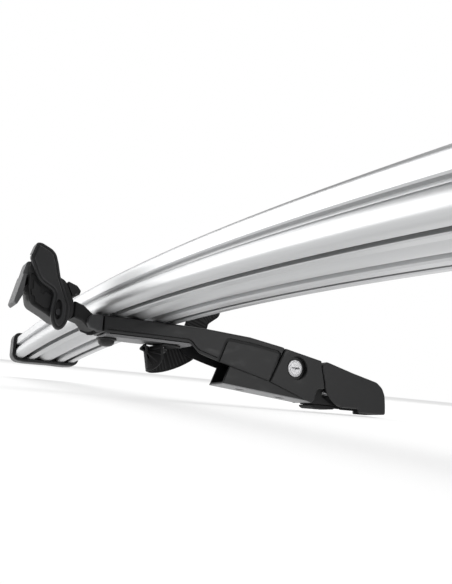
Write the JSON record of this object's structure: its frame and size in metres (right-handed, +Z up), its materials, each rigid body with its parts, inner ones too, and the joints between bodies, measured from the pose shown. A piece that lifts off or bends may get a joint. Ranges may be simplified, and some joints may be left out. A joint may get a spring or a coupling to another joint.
{
  "type": "roof ski rack",
  "caption": "Arched aluminium load rail on two clamping foot arms with locks, ratchet buckles and ladder straps, for carrying skis on vehicle roof bars.",
  "frame": {"origin": "bottom centre of the whole object box", "axes": "+X along the rail, +Y across it towards the clamp ends of the arms, +Z up"},
  "size_m": [1.3598, 0.3416, 0.1079],
  "materials": {
    "satin_aluminium": "satin anodised",
    "black_moulding": "fine-textured black moulding",
    "grey_moulding": "fine-textured dark grey moulding",
    "black_rubber": "matte",
    "zinc_steel": "zinc plated",
    "lock_chrome": "satin chrome"
  },
  "bodies": {
    "rail": {"rail": "satin_aluminium", "bed_strip": "black_rubber", "left_end_cap": "black_moulding", "right_end_cap": "black_moulding"},
    "left_arm": {"left_arm_cover": "black_moulding", "left_clamp_plate": "zinc_steel", "left_front_rail_bolt": "zinc_steel", "left_rear_rail_bolt": "zinc_steel", "left_front_dome_nut": "black_moulding", "left_rear_dome_nut": "black_moulding", "left_ladder_strap": "black_rubber", "left_lock_housing": "black_moulding", "left_channel_pin": "zinc_steel", "left_hinge_block": "zinc_steel", "left_lever_pin": "zinc_steel", "left_clamp_screw": "zinc_steel", "left_clamp_nut": "zinc_steel", "left_arm_tip": "grey_moulding", "left_neck_pin": "zinc_steel"},
    "left_lock": {"left_lock_cylinder": "lock_chrome", "left_lock_cam": "zinc_steel"},
    "left_lever": {"left_end_lever": "black_moulding"},
    "left_jaw": {"left_clamp_jaw": "black_moulding", "left_jaw_pad": "black_rubber"},
    "left_channel": {"left_bar_channel": "black_moulding"},
    "left_buckle": {"left_buckle_neck": "black_rubber", "left_buckle_frame": "black_moulding", "left_strap_gate": "black_moulding", "left_paddle_pin": "black_moulding", "left_release_pin": "zinc_steel"},
    "left_paddle": {"left_buckle_paddle": "grey_moulding"},
    "left_release": {"left_release_lever": "grey_moulding"},
    "right_arm": {"right_arm_cover": "black_moulding", "right_clamp_plate": "zinc_steel", "right_front_rail_bolt": "zinc_steel", "right_rear_rail_bolt": "zinc_steel", "right_front_dome_nut": "black_moulding", "right_rear_dome_nut": "black_moulding", "right_ladder_strap": "black_rubber", "right_lock_housing": "black_moulding", "right_channel_pin": "zinc_steel", "right_hinge_block": "zinc_steel", "right_lever_pin": "zinc_steel", "right_clamp_screw": "zinc_steel", "right_clamp_nut": "zinc_steel", "right_arm_tip": "grey_moulding", "right_neck_pin": "zinc_steel"},
    "right_lock": {"right_lock_cylinder": "lock_chrome", "right_lock_cam": "zinc_steel"},
    "right_lever": {"right_end_lever": "black_moulding"},
    "right_jaw": {"right_clamp_jaw": "black_moulding", "right_jaw_pad": "black_rubber"},
    "right_channel": {"right_bar_channel": "black_moulding"},
    "right_buckle": {"right_buckle_neck": "black_rubber", "right_buckle_frame": "black_moulding", "right_strap_gate": "black_moulding", "right_paddle_pin": "black_moulding", "right_release_pin": "zinc_steel"},
    "right_paddle": {"right_buckle_paddle": "grey_moulding"},
    "right_release": {"right_release_lever": "grey_moulding"}
  },
  "joints": [
    {"name": "left_arm_slide", "type": "slide", "parent": "rail", "child": "left_arm", "axis": [0.9957, 0, 0.0929], "range_m": [-0.02, 0.02]},
    {"name": "left_lock_turn", "type": "hinge", "parent": "left_arm", "child": "left_lock", "pos_m": [-0.36169, 0.07263, 0.03538], "axis": [0.9957, 0, 0.0929], "range_deg": [-90, 0]},
    {"name": "left_lever_lift", "type": "hinge", "parent": "left_arm", "child": "left_lever", "pos_m": [-0.36193, 0.10453, 0.03797], "axis": [0.9957, 0, 0.0929], "range_deg": [0, 75]},
    {"name": "left_jaw_travel", "type": "slide", "parent": "left_arm", "child": "left_jaw", "axis": [0, 1, 0], "range_m": [0, 0.004]},
    {"name": "left_channel_tilt", "type": "hinge", "parent": "left_arm", "child": "left_channel", "pos_m": [-0.36026, 0.07303, 0.02004], "axis": [0.9957, 0, 0.0929], "range_deg": [-3.5, 0]},
    {"name": "left_buckle_swing", "type": "hinge", "parent": "left_arm", "child": "left_buckle", "pos_m": [-0.36328, -0.10947, 0.0524], "axis": [0.9957, 0, 0.0929], "range_deg": [-12, 70]},
    {"name": "left_paddle_lift", "type": "hinge", "parent": "left_buckle", "child": "left_paddle", "pos_m": [-0.36369, -0.13797, 0.05688], "axis": [0.9957, 0, 0.0929], "range_deg": [-45, 0]},
    {"name": "left_release_pull", "type": "hinge", "parent": "left_buckle", "child": "left_release", "pos_m": [-0.36662, -0.15997, 0.08825], "axis": [0.9957, 0, 0.0929], "range_deg": [-14, 0], "stiffness_Nm_per_rad": 0.4},
    {"name": "right_arm_slide", "type": "slide", "parent": "rail", "child": "right_arm", "axis": [0.9957, 0, -0.0929], "range_m": [-0.02, 0.02]},
    {"name": "right_lock_turn", "type": "hinge", "parent": "right_arm", "child": "right_lock", "pos_m": [0.36169, 0.07263, 0.03538], "axis": [0.9957, 0, -0.0929], "range_deg": [-90, 0]},
    {"name": "right_lever_lift", "type": "hinge", "parent": "right_arm", "child": "right_lever", "pos_m": [0.36193, 0.10453, 0.03797], "axis": [0.9957, 0, -0.0929], "range_deg": [0, 75]},
    {"name": "right_jaw_travel", "type": "slide", "parent": "right_arm", "child": "right_jaw", "axis": [0, 1, 0], "range_m": [0, 0.004]},
    {"name": "right_channel_tilt", "type": "hinge", "parent": "right_arm", "child": "right_channel", "pos_m": [0.36026, 0.07303, 0.02004], "axis": [0.9957, 0, -0.0929], "range_deg": [-3.5, 0]},
    {"name": "right_buckle_swing", "type": "hinge", "parent": "right_arm", "child": "right_buckle", "pos_m": [0.36328, -0.10947, 0.0524], "axis": [0.9957, 0, -0.0929], "range_deg": [-12, 70]},
    {"name": "right_paddle_lift", "type": "hinge", "parent": "right_buckle", "child": "right_paddle", "pos_m": [0.36369, -0.13797, 0.05688], "axis": [0.9957, 0, -0.0929], "range_deg": [-45, 0]},
    {"name": "right_release_pull", "type": "hinge", "parent": "right_buckle", "child": "right_release", "pos_m": [0.36662, -0.15997, 0.08825], "axis": [0.9957, 0, -0.0929], "range_deg": [-14, 0], "stiffness_Nm_per_rad": 0.4}
  ],
  "couplings": [
    {"joint": "left_jaw_travel", "follows": "left_lever_lift", "m_per_rad": 0.0028},
    {"joint": "right_jaw_travel", "follows": "right_lever_lift", "m_per_rad": 0.0028}
  ]
}
